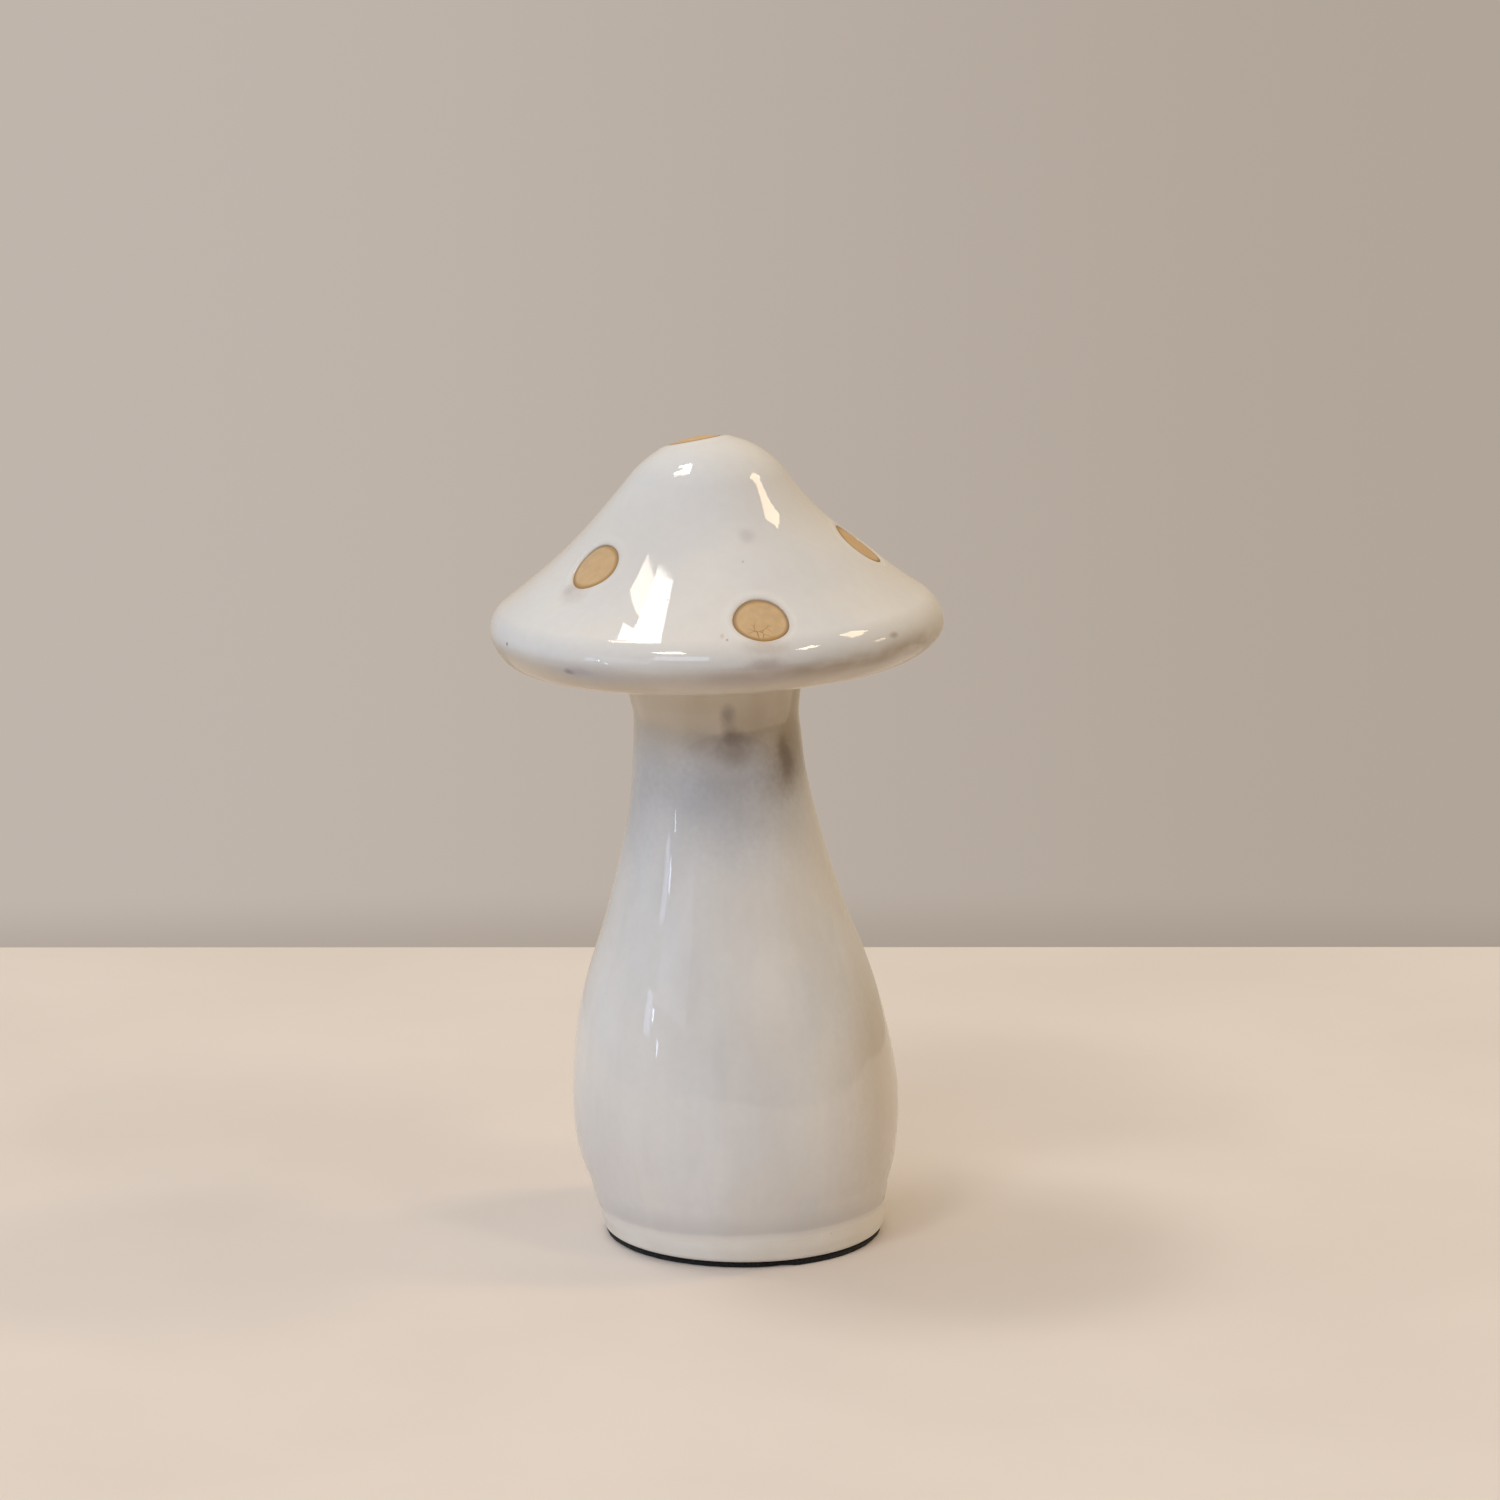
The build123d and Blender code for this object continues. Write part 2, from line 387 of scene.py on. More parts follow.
def cap_depth(points):
    """How far points lie outside the cap's glazed surface, and the direction out, near crown, flank and rim."""
    radius, height = np.hypot(points[..., 0], points[..., 1]), points[..., 2]
    section = np.stack([radius, height], axis=-1)
    found = np.zeros(radius.shape)
    out = np.zeros(section.shape)
    angle = np.arctan2(height - flank_centre[1], radius - flank_centre[0])
    on_crown = angle < crown_end - math.pi
    on_rim = angle > rim_start - math.pi
    for centre, size, where, sign in (
        (crown_centre, crown_radius, on_crown, 1),
        (flank_centre, flank_radius, ~on_crown & ~on_rim, -1),
        (rim_centre, rim_radius, on_rim, 1),
    ):
        away = section - centre
        distance = np.linalg.norm(away, axis=-1)
        found = np.where(where, sign * (distance - size), found)
        out = np.where(where[..., None], sign * away / distance[..., None], out)
    level = (out[..., 0] / np.maximum(radius, 1e-9))[..., None]
    return found, np.concatenate([points[..., :2] * level, out[..., 1:]], axis=-1)


def spot_frame(angle, share):
    """Middle of a spot on the glazed surface, with the directions sideways, uphill and out."""
    radius, turn = cap_radius * share, math.radians(angle)
    middle = np.array([radius * math.sin(turn), -radius * math.cos(turn), crown_height])
    for _ in range(8):
        depth, out = cap_depth(middle)
        middle[2] -= depth / out[2]
    sideways = np.array([math.cos(turn), math.sin(turn), 0])
    return middle, sideways, np.cross(out, sideways), out


spots = {name: spot_frame(*row[:2]) for name, row in spot_rows.items()}


def seen_from(spot, points):
    """Distance from a spot's axis and angle round it, with the height over its plane."""
    middle, sideways, uphill, out = spot
    away = points - middle
    x, y = away @ sideways, away @ uphill
    return np.hypot(x, y), np.arctan2(y, x), away @ out


def rim_of(name, turn):
    """Radius of a spot's hand-drawn rim at an angle round it."""
    seed = 1.7 * list(spots).index(name)
    wander = 0.1 * np.sin(2 * turn + seed) + 0.06 * np.sin(3 * turn + 2.1 * seed) + 0.04 * np.sin(5 * turn - seed)
    return spot_radius - spot_rows[name][2] + wander


def on_clay(name, radius):
    """Points on the clay at distances from a spot's axis, rings x sides, with the directions out."""
    middle, sideways, uphill, out = spots[name]
    turn = turns(patch_sides)[:, None]
    points = middle + radius[..., None] * (np.cos(turn) * sideways + np.sin(turn) * uphill)
    for _ in range(8):
        depth, normal = cap_depth(points)
        points = points - ((depth + glaze) / (normal @ out))[..., None] * out
    return points, normal


for name, (middle, _, _, out) in spots.items():
    print(f"spot {name}: {np.round(middle, 1)} mm, faces {np.round(out, 2)}")

# %% [markdown]
# ## The cap's glaze
#
# A turned grid can't have round windows, and a Boolean leaves ragged shading round the rims. So the grid is left
# out near each spot, a round grid with closely spaced rings is laid round the window instead, and the gap between
# the two is filled with triangles. The glaze ends in a rounded lip at the rim, with a faint swelling behind it.

# %% How thick the glaze is near a window
lip_width = 0.55
bead_height, bead_end = 0.1, 3.2
same_side, far_away = 9.0, 99.0


def lip(distance, width):
    """Rises from 0 to 1 over a width like a quarter circle, as a wet edge does."""
    share = np.clip(distance / width, 0, 1)
    return np.sqrt(share * (2 - share))


def bead(distance, start, end):
    """A soft hump from 0 at start up to 1 and back to 0 at end."""
    share = np.clip((distance - start) / (end - start), 0, 1)
    return np.sin(math.pi * share) ** 2


def window_distance(points):
    """Distance from the nearest window's rim, outwards along the surface."""
    nearest = np.full(points.shape[:-1], far_away)
    for name, spot in spots.items():
        distance, turn, over = seen_from(spot, points)
        nearest = np.minimum(nearest, np.where(abs(over) < same_side, distance - rim_of(name, turn), far_away))
    return nearest


# %% The sheet with its windows
patch_rings = np.array([0, 0.03, 0.08, 0.16, 0.27, 0.41, 0.58, 0.8, 1.1, 1.5, 2.0, 2.6, 3.3])
hole_gap = 0.9
wider_at_top = 2.5
grid_reach = 18


def window_patch(name):
    """Points on the clay round a window, ring by ring."""
    radius = rim_of(name, turns(patch_sides)) + patch_rings[:, None]
    if name == "top":
        radius = radius + (patch_rings / patch_rings[-1])[:, None] * wider_at_top
    return on_clay(name, radius)[0]


def windowed_sheet():
    """Points and faces of the clay's surface under the cap's glaze, with a hole at each window."""
    grid = rings(cap_outline, glaze).reshape(-1, 3)
    faces = ring_faces(len(cap_outline))
    patches = {name: window_patch(name) for name in spots}
    for name, patch in patches.items():
        reach = np.max(seen_from(spots[name], patch[-1])[0]) + hole_gap
        distance, _, over = seen_from(spots[name], grid)
        inside = (distance < reach) & (abs(over) < same_side)
        faces = [face for face in faces if not any(inside[i] for i in face)]
    work = bmesh.new()
    for point in np.vstack([grid, *(patch.reshape(-1, 3) for patch in patches.values())]):
        work.verts.new(point)
    work.verts.ensure_lookup_table()
    for face in faces:
        work.faces.new([work.verts[i] for i in face])
    start = len(grid)
    for name in patches:
        for face in ring_faces(len(patch_rings), patch_sides):
            work.faces.new([work.verts[start + i] for i in face])
        end = start + len(patch_rings) * patch_sides
        outer_ring = range(end - patch_sides, end)
        start = end
        here = Vector(spots[name][0])
        edges = [
            edge for edge in work.edges
            if edge.is_boundary and (
                edge.verts[0].index in outer_ring
                or (edge.verts[0].index < len(grid) and (edge.verts[0].co - here).length < grid_reach)
            )
        ]
        made = bmesh.ops.triangle_fill(work, use_beauty=True, edges=edges, normal=Vector(spots[name][3]))["geom"]
        filled = [part for part in made if isinstance(part, bmesh.types.BMFace)]
        between = [part for part in made if isinstance(part, bmesh.types.BMEdge) and len(part.link_faces) == 2]
        bmesh.ops.beautify_fill(work, faces=filled, edges=between, method="ANGLE")
        print(f"window {name}: {len(edges)} edges joined by {len(filled)} triangles")
    bmesh.ops.recalc_face_normals(work, faces=work.faces)
    points = np.array([vertex.co for vertex in work.verts])
    faces = [[vertex.index for vertex in face.verts] for face in work.faces]
    work.free()
    return points, faces


sheet, sheet_faces = windowed_sheet()

# %% [markdown]
# Round the windows, Blender finds the shading from the faces. Everywhere else the exact direction of the surface
# is worked out from small steps along it, so that no flat of the grid shows in the gloss.

# %% The cap's glaze as a closed skin
to_window = window_distance(sheet)
sheet_out = cap_depth(sheet)[1]
sheet_out[:len(cap_outline) * SIDES] = (rings(cap_outline, -1.0) - rings(cap_outline)).reshape(-1, 3)
thickness = glaze * (0.08 + 0.92 * lip(to_window, lip_width)) + bead_height * bead(to_window, 0.1, bead_end)
glazed = sheet + sheet_out * thickness[:, None]


def exact_normals(points, out):
    """The directions out of a surface of the cap after firing."""
    helper = np.where(abs(out[:, 2:]) < 0.9, [[0.0, 0.0, 1.0]], [[1.0, 0.0, 0.0]])
    first = np.cross(out, helper)
    first /= np.linalg.norm(first, axis=1, keepdims=True)
    steps = (0.1 * first, 0.1 * np.cross(out, first))
    normal = np.cross(*(fired(on_cap(points + step)) - fired(on_cap(points - step)) for step in steps))
    return normal / np.linalg.norm(normal, axis=1, keepdims=True)


# Painted shade and reflection: a brownish band along the rim's lower side, strongest at the front right, kept as an
# attribute.
round_cap = np.degrees(np.arctan2(sheet[:, 0], -sheet[:, 1]))
band_height = underside + 5.0 + 1.5 * smooth(-5, 60, round_cap)
band = np.exp(-(((sheet[:, 2] - band_height) / 2.6) ** 2))
painted_rim_shade = band * (0.42 + 0.58 * smooth(-20, 15, round_cap) * (1 - smooth(62, 110, round_cap)))
beyond_beads = to_window > patch_rings[-1] - 0.05
cap_coat = skin(
    "cap_glaze_coat", "cap_glaze", sheet_faces, on_cap(glazed), on_cap(sheet),
    {"edge_mm": np.clip(to_window, 0, 20), "rim_shade": painted_rim_shade},
    exact_normals(glazed, sheet_out) * beyond_beads[:, None],
)

# %% [markdown]
# ## The painted spots
#
# A spot is a thin disc of paint with a worn edge. It is a round grid, closest near its rim, laid on the clay in
# the same way as the window's patch.

# %% Seven discs of paint
disc_shares = np.array([0, 0.12, 0.25, 0.38, 0.5, 0.62, 0.72, 0.81, 0.88, 0.93, 0.965, 0.985, 1.0])
disc_gap, worn_width = 0.02, 0.35


def spot_disc(name):
    """A closed disc of paint on the clay, inside its window."""
    points, normal = on_clay(name, (rim_of(name, turns(patch_sides)) - disc_gap) * disc_shares[:, None])
    to_rim = spot_radius * (1 - disc_shares)[:, None] * np.ones(patch_sides)
    height = spot_paint * (0.25 + 0.75 * lip(to_rim, worn_width))
    return skin(
        f"spot_{name}_paint", f"spot_{name}", ring_faces(len(disc_shares), patch_sides),
        on_cap(points + normal * height[..., None]), on_cap(points), {"rim_mm": to_rim},
    )


paint_discs = [spot_disc(name) for name in spots]

# %% [markdown]
# ## The stem's glaze
#
# The glaze was wiped off the foot with a sponge before firing, so it doesn't end in a lip, but thins out over a few
# millimetres above a bare band. Its line wanders up and down, and stands higher on the right than on the left.

# %% The stem's glaze as a closed skin
glaze_line = foot_top + 4.8
wiped_width = 4.5
foot_bead = 0.05


def line_height(turn):
    """Height of the glaze's lower edge over its mean, round the stem from the front to the right."""
    slant = 0.75 * np.sin(turn) + 0.5 * np.cos(turn)
    return slant + 0.12 * np.sin(3 * turn + 0.6) + 0.08 * np.sin(7 * turn + 1.9) + 0.04 * np.sin(13 * turn)


stem_rows = stem_outline(glaze_line, 1.15)
edge_rows = np.array([0, 0.1, 0.25, 0.45, 0.7, 1.0, 1.35, 1.75, 2.2, 2.7, 3.4])
row_numbers = np.arange(len(stem_rows))
close_rows = np.interp(glaze_line + edge_rows[::-1], stem_rows[::-1, 1], row_numbers[::-1])
stem_rows = np.vstack([
    stem_rows[stem_rows[:, 1] > glaze_line + edge_rows[-1] + 0.8],
    np.column_stack([np.interp(close_rows, row_numbers, stem_rows[:, k]) for k in range(4)]),
])
above_line = (stem_rows[:, 1] - glaze_line)[:, None] * np.ones(SIDES)
clay_side = rings(stem_rows, glaze)
clay_side[..., 2] += line_height(turns(SIDES)) * (1 - smooth(0, 14, above_line))
side_rows = stem_outline(glaze_line - 2, 0.6)[::-1]
glazed_heights = clay_side[..., 2] + (stem_rows[:, 3] * glaze)[:, None]
moved_radius = np.interp(glazed_heights, side_rows[:, 1], side_rows[:, 0]) - stem_rows[:, :1]
clay_side[..., :2] *= (1 + moved_radius / stem_rows[:, :1])[..., None]
stem_out = rings(stem_rows, -1.0) - rings(stem_rows)
thickness = glaze * (0.03 + 0.97 * smooth(-0.3, wiped_width, above_line)) + foot_bead * bead(above_line, 1.0, 7.0)
stem_coat = skin(
    "stem_glaze_coat", "stem_glaze", ring_faces(len(stem_rows)),
    on_stem(clay_side + stem_out * thickness[..., None]), on_stem(clay_side),
    {"edge_mm": np.clip(above_line, 0, 20)},
)

# %% [markdown]
# ## The clay under the glaze
#
# Cap and stem are hollow, because they were cast in plaster moulds: the liquid clay is poured out again before it
# sets right through. Only the band at the foot shows, but the rest is there too.

# %% Clay of the cap, with the slip that joins it to the stem
shell_sides = 128


def cap_part(name, node, outside, inside):
    """A clay piece of the cap, between an outline under the glaze and one on the inner side of the wall."""
    outer, inner = rings(outside, glaze, shell_sides), rings(inside, glaze + wall, shell_sides)
    return skin(name, node, ring_faces(len(outside), shell_sides), on_cap(outer), on_cap(inner))


cap_rows = np.vstack([cap_outline[cap_outline[:, 1] > seam_thickness], [neck_radius, seam_thickness, 1, 0]])
cap_clay = cap_part("cap_clay", "cap_shell", cap_rows, cap_rows)
slip_outside = straight((neck_radius, seam_thickness), (neck_radius, 0), 0.2)
slip_inside = slip_outside.copy()
slip_inside[:, 0] -= np.sqrt(np.maximum(seam_thickness**2 / 4 - (slip_outside[:, 1] - seam_thickness / 2) ** 2, 0))
seam_slip = cap_part("seam_slip", "neck_slip", slip_outside, slip_inside)

# %% [markdown]
# The stem's clay needs two outlines with as many rows each. The outer one runs down the side, round the softened
# edge of the foot and into the recess, up to the drain hole, and the inner one down the wall and across the floor.

# %% Clay of the stem, with the foot
foot_ring_width = 7.0
foot_recess = 1.2
floor_thickness = 5.0
drain_radius = 9.0
foot_edge = 1.5
floor_top = foot_top + foot_recess + floor_thickness
recess_radius = belly_radius - foot_inset - foot_ring_width


def under(rows, depth):
    """Radius and height of an outline's rows, at a depth under it."""
    return rows[:, :2] - rows[:, 2:] * depth


foot_side = stem_outline(foot_top + foot_edge, 1.3)
foot_radius = foot_side[-1, 0] - glaze
foot_turn = arc((foot_radius - foot_edge, foot_top + foot_edge), foot_edge, 0, -quarter, 0.2)
outer_path = np.vstack([
    under(foot_side, glaze),
    foot_turn[1:, :2],
    (recess_radius, foot_top),
    (recess_radius, foot_top + foot_recess),
    (drain_radius, foot_top + foot_recess),
])
inner_path = np.vstack([under(stem_outline(floor_top, 1.3), glaze + wall), (drain_radius, floor_top)])
way = np.concatenate([[0], np.cumsum(np.linalg.norm(np.diff(inner_path, axis=0), axis=1))])
even_way = np.linspace(0, way[-1], len(outer_path))
inner_path = np.column_stack([np.interp(even_way, way, inner_path[:, k]) for k in (0, 1)])
outer, inner = (on_stem(rings(np.pad(path, ((0, 0), (0, 2))))) for path in (outer_path, inner_path))
stem_clay = skin("stem_clay", "stem_shell", ring_faces(len(outer_path)), outer, inner)

# %% [markdown]
# ## The felt under the foot
#
# A disc of black felt, cut with scissors. The rings of a turned disc are pushed in and out as the scissors went. It
# stands out a bit further at the front right, and at one place the lower edge curls up from the table.

# %% Felt disc
felt_radius, felt_thickness = 33.7, 1.3
felt_edge = 0.35
felt_sides = 320
flat = felt_radius - felt_edge
felt_rows = np.vstack([
    straight((0, felt_thickness), (flat, felt_thickness), 2.5),
    arc((flat, felt_thickness - felt_edge), felt_edge, quarter, 0, 0.09)[1:],
    arc((flat, felt_edge), felt_edge, 0, -quarter, 0.09),
    straight((flat, 0), (0, 0), 2.5)[1:],
])
felt_points = rings(felt_rows, 0.0, felt_sides)
turn = turns(felt_sides)
notch = math.radians(17)
scissors = 0.08 * np.sin(3 * turn + 0.4) + 0.06 * np.sin(8 * turn + 1.1) + 0.04 * np.sin(19 * turn)
scissors += 0.9 * smooth(notch, notch + 0.12, turn) * (1 - smooth(1.7, 2.6, turn))
fuzz = 0.03 * np.sin(47 * turn + felt_rows[:, 1, None] * 9) + 0.02 * np.sin(83 * turn)
at_edge = smooth(felt_radius - 3, felt_radius, felt_rows[:, 0])[:, None]
felt_points[..., :2] *= (1 + (scissors + fuzz) * at_edge / felt_radius)[..., None]
curl = 0.5 * np.exp(-((turn - notch) / math.radians(4)) ** 2)
felt_points[..., 2] += curl * at_edge * (1 - felt_points[..., 2] / felt_thickness)
felt_faces = ring_faces(len(felt_rows), felt_sides)
felt_disc = solid("felt_disc", "felt_pad", felt_points.reshape(-1, 3), felt_faces)

# %% [markdown]
# ## Building blocks for the finishes
#
# Each finish is a small network of nodes. Three effects come back in several of them, so each is a node group,
# built once, and every material sets it to its own sizes. Places are taken from the object's own coordinates, so a
# finish stays put when the camera moves.

# %% Helpers for nodes


class Nodes:
    """A node tree with short ways to add to it. An input is linked to a socket, or takes any other value."""

    def __init__(self, tree):
        self.tree = tree

    def fill(self, socket, value):
        if isinstance(value, bpy.types.NodeSocket):
            self.tree.links.new(value, socket)
        else:
            socket.default_value = value

    def add(self, kind, inputs=None, **settings):
        """A new node with its settings and inputs."""
        made = self.tree.nodes.new("ShaderNode" + kind)
        for name, value in settings.items():
            setattr(made, name, value)
        for name, value in (inputs or {}).items():
            self.fill(made.inputs[name], value)
        return made

    def math(self, operation, first, second):
        return self.add("Math", {0: first, 1: second}, operation=operation).outputs[0]

    def vector(self, operation, first, second):
        return self.add("VectorMath", {0: first, 1: second}, operation=operation).outputs[0]

    def times(self, first, second):
        return self.math("MULTIPLY", first, second)

    def plus(self, first, second):
        return self.math("ADD", first, second)

    def minus(self, first, second):
        return self.math("SUBTRACT", first, second)

    def noise(self, place, scale, detail):
        return self.add("TexNoise", {"Vector": place, "Scale": scale, "Detail": detail}).outputs[0]

    def spread(self, value, low, high, to_low=0.0, to_high=1.0):
        """A value between low and high, turned into a soft S from to_low to to_high."""
        inputs = {"Value": value, "From Min": low, "From Max": high, "To Min": to_low, "To Max": to_high}
        return self.add("MapRange", inputs, interpolation_type="SMOOTHSTEP").outputs["Result"]

    def blend(self, share, first, second):
        """Two colours mixed by a share from 0 to 1."""
        first, second = ((*c, 1.0) if isinstance(c, tuple) else c for c in (first, second))
        return self.add("Mix", {0: share, 6: first, 7: second}, data_type="RGBA").outputs[2]


def effect(name, **inputs):
    """Turns a function into a node group that makes one mask out of the function's named inputs."""

    def build(make):
        nodes = Nodes(bpy.data.node_groups.new(name, "ShaderNodeTree"))
        for title, value in inputs.items():
            kind = "NodeSocketVector" if isinstance(value, tuple) else "NodeSocketFloat"
            nodes.tree.interface.new_socket(title, in_out="INPUT", socket_type=kind).default_value = value
        nodes.tree.interface.new_socket("Mask", in_out="OUTPUT", socket_type="NodeSocketFloat")
        given = nodes.tree.nodes.new("NodeGroupInput").outputs
        mask = make(nodes, *(given[title] for title in inputs))
        nodes.fill(nodes.tree.nodes.new("NodeGroupOutput").inputs["Mask"], mask)
        print(f"{name}: {len(nodes.tree.nodes)} nodes")
        return nodes.tree

    return build


NOWHERE, EVEN = (0.0, 0.0, 0.0), (1.0, 1.0, 1.0)

# %% [markdown]
# A soft mark is an egg-shaped patch with a blurred, slightly ragged rim: a smudge, a thumb-wiped place or a spot
# of grit. It could be painted by hand in texture paint, but a mask made by nodes has no pixels.

# %% Soft mark


@effect("Soft mark", Place=NOWHERE, Centre=NOWHERE, Reach=(0.01, 0.01, 0.01), Softness=0.6, Ragged=0.3)
def soft_mark(nodes, place, centre, reach, softness, ragged):
    in_reaches = nodes.vector("DIVIDE", nodes.vector("SUBTRACT", place, centre), reach)
    distance = nodes.add("VectorMath", {0: in_reaches}, operation="LENGTH").outputs["Value"]
    crumble = nodes.times(nodes.minus(nodes.noise(place, 700.0, 3.0), 0.5), ragged)
    return nodes.spread(nodes.plus(distance, crumble), nodes.minus(1.0, softness), 1.0, 1.0, 0.0)


# %% [markdown]
# Drifting tone is the cloudy unevenness of a thick white glaze, and with a long stretch it becomes the streaks
# that the brush or the running glaze leaves down the stem.

# %% Drifting tone


@effect("Drifting tone", Place=NOWHERE, Scale=40.0, Stretch=EVEN, Detail=3.0, Low=0.35, High=0.65)
def drifting_tone(nodes, place, scale, stretch, detail, low, high):
    return nodes.spread(nodes.noise(nodes.vector("MULTIPLY", place, stretch), scale, detail), low, high)


# %% [markdown]
# Fine specks are grains of iron in the clay and pinholes in the glaze. Each cell of a Voronoi texture holds one
# grain, and only a small share of the cells shows it.

# %% Fine specks


@effect("Fine specks", Place=NOWHERE, Cells=300.0, Size=0.15, Share=0.05)
def fine_specks(nodes, place, cells, size, share):
    cell = nodes.add("TexVoronoi", {"Vector": place, "Scale": cells}).outputs
    grain = nodes.spread(nodes.math("DIVIDE", cell["Distance"], size), 0.3, 1.0, 1.0, 0.0)
    chance = nodes.add("SeparateColor", {0: cell["Color"]}).outputs[0]
    return nodes.times(grain, nodes.math("LESS_THAN", chance, share))


# %% [markdown]
# ## The glaze on the cap
#
# Ceramic glaze is a layer of glass: it reflects a few percent of the light as sharply as a mirror, and the white
# under it does the rest. In Blender that is a Principled shader with a light base colour and a very low roughness.
# The finish lives from its unevenness: bluish and creamy clouds, a whiter swell round each spot, and specks and
# smudges from the kiln. The rim's lower side, the underside and the neck get painted shade and reflection.

# %% Start of a material


def mm(*numbers):
    """Millimetres as Blender's metres."""
    return tuple(number * MM for number in numbers)


class Finish(Nodes):
    """A material whose colour takes one tint after another."""

    def __init__(self, name, roughness, colour):
        self.material = bpy.data.materials.new(name)
        self.material.use_nodes = True
        super().__init__(self.material.node_tree)
        self.shader = self.tree.nodes["Principled BSDF"].inputs
        self.shader["Roughness"].default_value = roughness
        self.colour = colour
        self.place = self.add("TexCoord").outputs["Object"]

    def mask(self, group, **inputs):
        return self.add("Group", {"Place": self.place, **inputs}, node_tree=group).outputs["Mask"]

    def tone(self, scale, **inputs):
        return self.mask(drifting_tone, Scale=scale, **inputs)

    def attribute(self, name):
        return self.add("Attribute", attribute_name=name).outputs["Fac"]

    def height(self):
        return self.add("SeparateXYZ", {0: self.place}).outputs["Z"]

    def tint(self, colour, mask, share=None):
        """Lays a colour over the present one where the mask is white, as strongly as the share says."""
        if share is not None:
            mask = self.times(mask, share)
        self.colour = self.blend(mask, self.colour, colour)
        self.fill(self.shader["Base Color"], self.colour)

    def marks(self, *rows):
        """Soft marks in millimetres: centre, reach, tint, strength and, for a crisper one, its softness."""
        for centre, reach, colour, strength, *crisper in rows:
            inputs = {"Centre": mm(*centre), "Reach": mm(*reach), "Softness": crisper[0] if crisper else 0.9}
            self.tint(colour, self.mask(soft_mark, **inputs), strength)

    def bump(self, height, strength, distance):
        inputs = {"Height": height, "Strength": strength, "Distance": distance}
        self.fill(self.shader["Normal"], self.add("Bump", inputs).outputs[0])


def dapple(glazing, share):
    """The fine, pale and dark dapples of a glaze that boiled a little in the kiln."""
    glazing.tint((0.66, 0.62, 0.58), glazing.tone(420.0, Low=0.3, High=0.7), share)
    glazing.tint((0.9, 0.87, 0.82), glazing.tone(150.0, Detail=2.0, Low=0.3, High=0.7), share)


def shaded_smoky_neck(glazing):
    """The neck on both sides of the seam: painted shade and reflection under the cap, brown down to an arc and grey
    below it, with smudges of soot.
    """
    # Painted shade: the whole neck and the cap's underside greyer and bluer.
    glazing.marks(((-6, 0, 113), (42, 42, 31), (0.4, 0.43, 0.49), 0.42))
    # Painted shade and reflection: brown from under the cap down to an arc, as the cap's underside shows in the
    # glaze, and grey just below the arc.
    height = glazing.height()
    neck_shade_colour = glazing.blend(
        glazing.tone(110.0, Stretch=(1.0, 1.0, 0.15), Low=0.3, High=0.7), (0.66, 0.58, 0.47), (0.61, 0.53, 0.41))
    over_arc = glazing.spread(height, 0.1195, 0.1345)
    painted_neck_shade = glazing.times(over_arc, glazing.spread(height, 0.148, 0.152, 1.0, 0.0))
    glazing.tint(neck_shade_colour, painted_neck_shade, 0.95)
    arc_shade = glazing.mask(
        soft_mark, Centre=mm(-3.5, -20, 115), Reach=mm(16.3, 30, 16.3), Softness=0.05, Ragged=0.0)
    glazing.tint((0.36, 0.33, 0.34), arc_shade, glazing.spread(height, 0.1215, 0.13, 0.0, 0.24))
    soot, smoke = (0.13, 0.09, 0.06), (0.3, 0.25, 0.22)
    rust, dark_rust = (0.46, 0.36, 0.24), (0.17, 0.115, 0.065)
    # The wide grey patches in this list are painted shade. The smoke, soot and rust marks are smudges on the glaze.
    glazing.marks(
        ((11.5, -11, 124.5), (12, 14, 14), rust, 0.6),
        ((2, -19, 133), (10, 8, 6), rust, 0.35),
        ((-22, -12, 123), (15, 14, 14), (0.44, 0.41, 0.39), 0.3),
        ((-10, -19, 129), (9, 8, 5.5), smoke, 0.24),
        ((-6, -21, 113), (17, 10, 17), (0.42, 0.42, 0.46), 0.24),
        ((-26, -10, 108), (9, 15, 17), (0.48, 0.48, 0.5), 0.26),
        ((-3.5, -20.3, 136), (2.8, 4, 3.6), smoke, 0.55),
        ((-3.2, -20.3, 133), (2.8, 4, 6), smoke, 0.4),
        ((-2.2, -20.4, 130.2), (3.6, 6, 3.2), soot, 0.38),
        ((0.5, -20, 129.4), (9, 6, 2.6), smoke, 0.35),
        ((-2, -20.2, 126.6), (6.5, 6, 6), smoke, 0.52),
        ((-2.5, -20, 122), (14, 10, 9), smoke, 0.16, 0.6),
        ((9.9, -13.4, 126.4), (2.3, 4, 5), dark_rust, 0.42),
        ((11, -12.4, 122.2), (2.7, 4, 5.8), dark_rust, 0.46),
        ((10.9, -12.5, 121.5), (5.4, 6, 10), smoke, 0.5),
        ((8, -16, 116.5), (9, 7, 7), smoke, 0.25),
        ((-14, 17, 127), (4, 5, 7), smoke, 0.35),
    )


def glassy_bumps(glazing):
    """The faint waviness of a fired glaze."""
    fine = glazing.times(glazing.noise(glazing.place, 900.0, 2.0), 0.012)
    glazing.bump(glazing.plus(glazing.noise(glazing.place, 110.0, 1.0), fine), 0.08, 0.0004)


# %% Glaze on the cap
milk = Finish("milky_glaze_on_the_cap", 0.05, (0.8, 0.79, 0.77))
clouds = milk.tone(28.0)
milk.tint((0.75, 0.755, 0.765), clouds)
milk.tint((0.82, 0.79, 0.74), milk.tone(17.0, Stretch=(1.0, 1.3, 0.8), Low=0.45, High=0.7), 0.6)
edge = milk.attribute("edge_mm")
milk.tint((0.87, 0.855, 0.83), milk.spread(edge, 0.6, 3.6, 1.0, 0.0), 0.55)
milk.tint((0.62, 0.58, 0.57), milk.spread(edge, 0.2, 1.6, 1.0, 0.0), milk.spread(clouds, 0.0, 1.0, 0.25, 0.6))
milk.tint((0.62, 0.5, 0.36), milk.spread(edge, 0.05, 0.5, 0.6, 0.0))
dapple(milk, 0.1)
